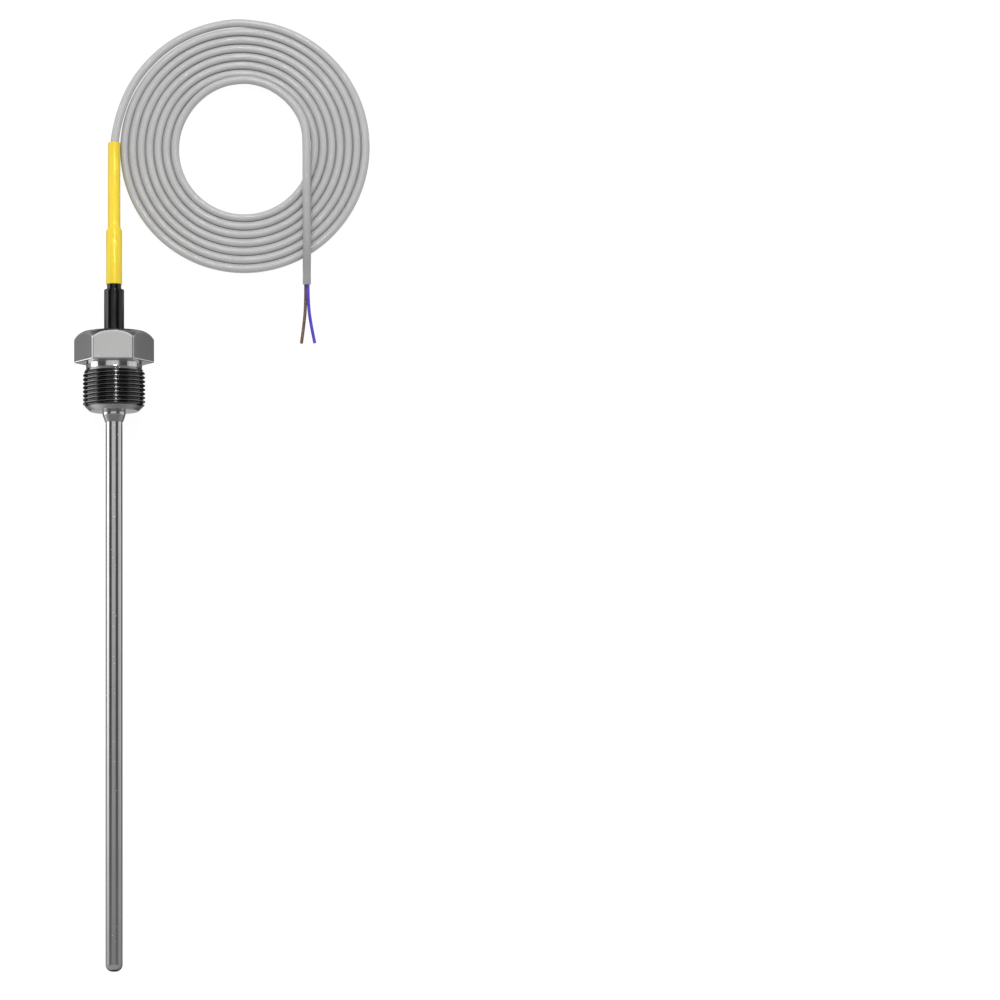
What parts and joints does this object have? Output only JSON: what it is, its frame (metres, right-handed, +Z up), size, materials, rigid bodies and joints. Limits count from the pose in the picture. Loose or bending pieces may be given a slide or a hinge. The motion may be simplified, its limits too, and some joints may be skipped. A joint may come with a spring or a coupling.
{
  "type": "screw-in cable temperature sensor",
  "caption": "Screw-in temperature sensor with a long thin closed stem, hexagon fitting, black and yellow sleeves and a flat coil of grey cable with stripped wire ends.",
  "frame": {"origin": "on the floor under the middle of the sensor, halfway between the stem's tip and the far end of the label, the loose cable left out", "axes": "+X to the right of the sensor, towards the coil; +Y along the sensor from the tip to the cable; +Z up from the floor it lies on"},
  "size_m": [0.1061, 0.3449, 0.0254],
  "materials": {
    "fitting_steel": "finely turned stainless steel",
    "stem_steel": "drawn stainless tube, bright",
    "black_sleeve": "shrunk sleeve, satin black",
    "yellow_label": "shrunk sleeve, satin yellow",
    "grey_jacket": "soft grey jacket, satin",
    "brown_insulation": "brown insulation",
    "violet_insulation": "violet insulation",
    "copper": "bare copper strand",
    "tinned_crimp": "tinned crimp tube",
    "splice_tube": "pale insulating tube",
    "nickel_lead": "drawn nickel wire",
    "chip_ceramic": "white ceramic",
    "chip_glaze": "fired glaze drop",
    "heat_paste": "white heat-conducting paste",
    "potting_resin": "dark casting resin"
  },
  "bodies": {
    "root": {"threaded_fitting": "fitting_steel", "stem_tube": "stem_steel", "outer_sleeve": "black_sleeve", "inner_sleeve": "black_sleeve", "label_sleeve": "yellow_label", "cable_root": "grey_jacket", "cable_lead": "grey_jacket", "cable_coil": "grey_jacket", "cable_tail": "grey_jacket", "brown_wire_end": "brown_insulation", "violet_wire_end": "violet_insulation", "brown_core_end": "copper", "violet_core_end": "copper", "brown_stem_wire": "brown_insulation", "violet_stem_wire": "violet_insulation", "brown_stem_core": "copper", "violet_stem_core": "copper", "brown_crimp": "tinned_crimp", "violet_crimp": "tinned_crimp", "brown_splice_tube": "splice_tube", "violet_splice_tube": "splice_tube", "brown_chip_lead": "nickel_lead", "violet_chip_lead": "nickel_lead", "sensing_chip": "chip_ceramic", "chip_bead": "chip_glaze", "heat_paste": "heat_paste", "potting_plug": "potting_resin"}
  },
  "joints": []
}
